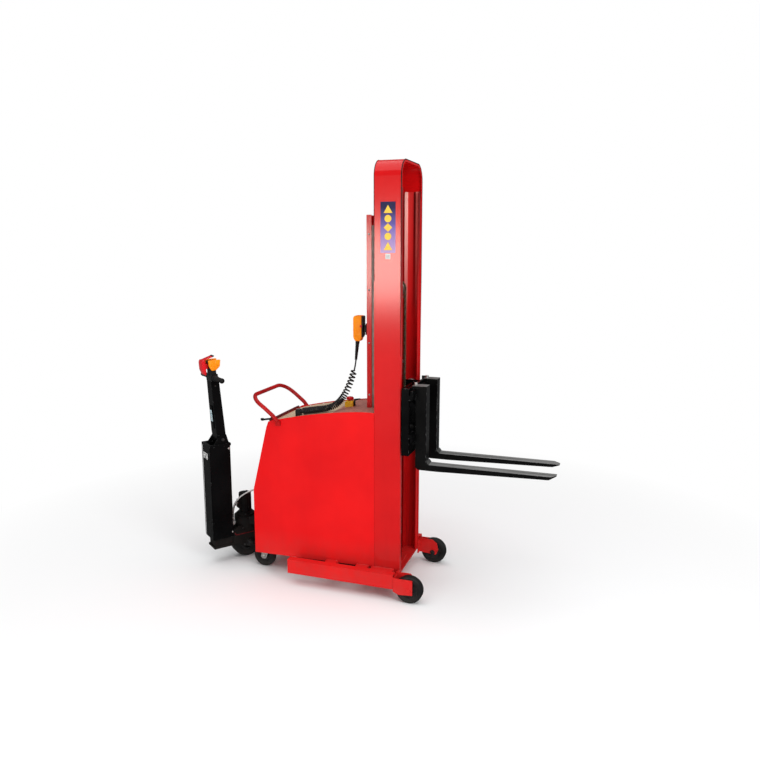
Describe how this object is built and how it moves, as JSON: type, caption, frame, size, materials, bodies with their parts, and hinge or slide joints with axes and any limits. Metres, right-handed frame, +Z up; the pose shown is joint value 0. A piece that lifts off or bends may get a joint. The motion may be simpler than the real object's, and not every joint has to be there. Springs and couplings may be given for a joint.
{
  "type": "walkie stacker",
  "caption": "Walk-behind powered stacker: arched mast, chain-lifted fork carriage, boxy power pack, steered drive wheel with tiller and a pendant control.",
  "frame": {"origin": "on the floor below the middle of the machine's length and width, at the rest pose with the forks half raised and the tiller steered to the right", "axes": "+X points forward to the fork tips, +Y to the machine's left, +Z up"},
  "size_m": [1.9652, 0.562, 2.17],
  "materials": {
    "body_paint": "satin",
    "mast_paint": "satin",
    "black_paint": "satin",
    "drive_black": "matte",
    "top_board": "matte",
    "tread_plate": "matte",
    "bare_steel": "brushed",
    "chain_steel": "oiled",
    "ram_chrome": "polished",
    "zinc": "zinc plated",
    "wheel_rubber": "matte",
    "hub_iron": "cast",
    "grip_rubber": "matte",
    "head_plastic": "matte",
    "orange_plastic": "satin",
    "red_plastic": "gloss",
    "yellow_plastic": "satin",
    "cord_black": "satin",
    "cable_grey": "satin",
    "battery_case": "matte",
    "pump_alloy": "cast"
  },
  "bodies": {
    "chassis": {"mast_shell": "mast_paint", "right_mast_channel": "mast_paint", "left_mast_channel": "mast_paint", "mast_back_panel": "mast_paint", "mast_foot": "mast_paint", "lift_cylinder": "black_paint", "right_body_panel": "body_paint", "left_body_panel": "body_paint", "rear_cover": "body_paint", "top_cover": "top_board", "top_plate": "tread_plate", "chassis_floor": "body_paint", "push_handle": "body_paint", "right_side_rail": "body_paint", "left_side_rail": "body_paint", "right_wheel_bracket": "body_paint", "left_wheel_bracket": "body_paint", "caster_plates": "zinc", "drive_mount": "drive_black", "rear_guard": "mast_paint", "pendant_hook": "black_paint", "estop_base": "yellow_plastic", "cord_gland": "head_plastic", "battery": "battery_case", "pump_unit": "pump_alloy", "coil_cord": "cord_black", "cord_lead": "cord_black", "drive_cable": "cable_grey"},
    "latch": {"rear_latch": "black_paint"},
    "ram": {"lift_rod": "ram_chrome", "carriage_chain": "chain_steel", "anchor_chain": "chain_steel"},
    "sheave": {"chain_sheave": "bare_steel"},
    "carriage": {"carriage_frame": "black_paint"},
    "roller_right_lower": {"right_lower_roller": "bare_steel"},
    "roller_left_lower": {"left_lower_roller": "bare_steel"},
    "roller_right_upper": {"right_upper_roller": "bare_steel"},
    "roller_left_upper": {"left_upper_roller": "bare_steel"},
    "fork_right": {"right_fork": "black_paint"},
    "fork_left": {"left_fork": "black_paint"},
    "steer_unit": {"drive_housing": "drive_black", "traction_motor": "drive_black", "column_box": "black_paint"},
    "drive_wheel": {"drive_tyre": "wheel_rubber", "drive_hub": "hub_iron"},
    "tiller": {"tiller_arm": "black_paint", "tiller_head": "head_plastic", "handle_grips": "grip_rubber"},
    "throttle": {"throttle_wings": "orange_plastic"},
    "reverse_switch": {"belly_switch": "red_plastic"},
    "caster_right": {"right_caster_fork": "zinc"},
    "caster_left": {"left_caster_fork": "zinc"},
    "caster_wheel_right": {"right_caster_wheel": "wheel_rubber"},
    "caster_wheel_left": {"left_caster_wheel": "wheel_rubber"},
    "front_wheel_right": {"right_front_wheel": "wheel_rubber"},
    "front_wheel_left": {"left_front_wheel": "wheel_rubber"},
    "pendant": {"pendant_housing": "orange_plastic"},
    "pendant_up": {"pendant_up_button": "head_plastic"},
    "pendant_down": {"pendant_down_button": "head_plastic"},
    "stop_button": {"estop_button": "red_plastic"}
  },
  "joints": [
    {"name": "ram_slide", "type": "slide", "parent": "chassis", "child": "ram", "axis": [0, 0, 1], "range_m": [-0.29, 0.465], "deforming": ["anchor_chain"]},
    {"name": "carriage_slide", "type": "slide", "parent": "ram", "child": "carriage", "axis": [0, 0, 1], "range_m": [-0.29, 0.465], "deforming": ["carriage_chain"]},
    {"name": "sheave_spin", "type": "hinge", "parent": "ram", "child": "sheave", "pos_m": [0.1576, 0, 1.56], "axis": [0, 1, 0], "continuous": true},
    {"name": "right_lower_roller_spin", "type": "hinge", "parent": "carriage", "child": "roller_right_lower", "pos_m": [0.1846, -0.154, 0.8], "axis": [0, 1, 0], "continuous": true},
    {"name": "right_upper_roller_spin", "type": "hinge", "parent": "carriage", "child": "roller_right_upper", "pos_m": [0.1846, -0.154, 1.04], "axis": [0, 1, 0], "continuous": true},
    {"name": "left_lower_roller_spin", "type": "hinge", "parent": "carriage", "child": "roller_left_lower", "pos_m": [0.1846, 0.154, 0.8], "axis": [0, 1, 0], "continuous": true},
    {"name": "left_upper_roller_spin", "type": "hinge", "parent": "carriage", "child": "roller_left_upper", "pos_m": [0.1846, 0.154, 1.04], "axis": [0, 1, 0], "continuous": true},
    {"name": "right_fork_slide", "type": "slide", "parent": "carriage", "child": "fork_right", "axis": [0, 1, 0], "range_m": [-0.05, 0.065]},
    {"name": "left_fork_slide", "type": "slide", "parent": "carriage", "child": "fork_left", "axis": [0, 1, 0], "range_m": [-0.065, 0.05]},
    {"name": "steer", "type": "hinge", "parent": "chassis", "child": "steer_unit", "pos_m": [-0.7624, 0, 0.245], "axis": [0, 0, 1], "range_deg": [-143, 37]},
    {"name": "drive_wheel_spin", "type": "hinge", "parent": "steer_unit", "child": "drive_wheel", "pos_m": [-0.7624, 0, 0.088], "axis": [-0.7986, 0.6018, 0], "continuous": true},
    {"name": "tiller_pivot", "type": "hinge", "parent": "steer_unit", "child": "tiller", "pos_m": [-0.84605, -0.11101, 0.722], "axis": [0.7986, -0.6018, 0], "range_deg": [0, 75], "stiffness_Nm_per_rad": 9, "springref_deg": -20.05},
    {"name": "throttle_twist", "type": "hinge", "parent": "tiller", "child": "throttle", "pos_m": [-0.86215, -0.13237, 1.13314], "axis": [-0.7986, 0.6018, 0], "range_deg": [-25, 25], "stiffness_Nm_per_rad": 0.6},
    {"name": "reverse_switch_press", "type": "slide", "parent": "tiller", "child": "reverse_switch", "axis": [0.6003, 0.7967, 0.0698], "range_m": [0, 0.008], "stiffness_N_per_m": 500, "springref_m": -0.004},
    {"name": "right_caster_swivel", "type": "hinge", "parent": "chassis", "child": "caster_right", "pos_m": [-0.5594, -0.1, 0.156], "axis": [0, 0, 1], "continuous": true},
    {"name": "right_caster_spin", "type": "hinge", "parent": "caster_right", "child": "caster_wheel_right", "pos_m": [-0.5864, -0.1, 0.0635], "axis": [0, 1, 0], "continuous": true},
    {"name": "right_front_wheel_spin", "type": "hinge", "parent": "chassis", "child": "front_wheel_right", "pos_m": [0.3016, -0.248, 0.07], "axis": [0, 1, 0], "continuous": true},
    {"name": "left_caster_swivel", "type": "hinge", "parent": "chassis", "child": "caster_left", "pos_m": [-0.5594, 0.1, 0.156], "axis": [0, 0, 1], "continuous": true},
    {"name": "left_caster_spin", "type": "hinge", "parent": "caster_left", "child": "caster_wheel_left", "pos_m": [-0.5864, 0.1, 0.0635], "axis": [0, 1, 0], "continuous": true},
    {"name": "left_front_wheel_spin", "type": "hinge", "parent": "chassis", "child": "front_wheel_left", "pos_m": [0.3016, 0.248, 0.07], "axis": [0, 1, 0], "continuous": true},
    {"name": "pendant_lift", "type": "slide", "parent": "chassis", "child": "pendant", "axis": [0, 0, 1], "range_m": [0, 0.05]},
    {"name": "pendant_up_press", "type": "slide", "parent": "pendant", "child": "pendant_up", "axis": [1, 0, 0], "range_m": [0, 0.003], "stiffness_N_per_m": 200, "springref_m": -0.002},
    {"name": "pendant_down_press", "type": "slide", "parent": "pendant", "child": "pendant_down", "axis": [1, 0, 0], "range_m": [0, 0.003], "stiffness_N_per_m": 200, "springref_m": -0.002},
    {"name": "stop_press", "type": "slide", "parent": "chassis", "child": "stop_button", "axis": [0, 0, -1], "range_m": [0, 0.005], "stiffness_N_per_m": 600, "springref_m": -0.002},
    {"name": "latch_turn", "type": "hinge", "parent": "chassis", "child": "latch", "pos_m": [-0.4944, -0.145, 0.866], "axis": [0, 0, -1], "range_deg": [0, 90]}
  ],
  "couplings": [
    {"joint": "carriage_slide", "follows": "ram_slide", "ratio": 1},
    {"joint": "sheave_spin", "follows": "ram_slide", "rad_per_m": -27.778},
    {"joint": "right_upper_roller_spin", "follows": "ram_slide", "rad_per_m": 61.538},
    {"joint": "right_lower_roller_spin", "follows": "ram_slide", "rad_per_m": -61.538},
    {"joint": "left_upper_roller_spin", "follows": "ram_slide", "rad_per_m": 61.538},
    {"joint": "left_lower_roller_spin", "follows": "ram_slide", "rad_per_m": -61.538}
  ]
}
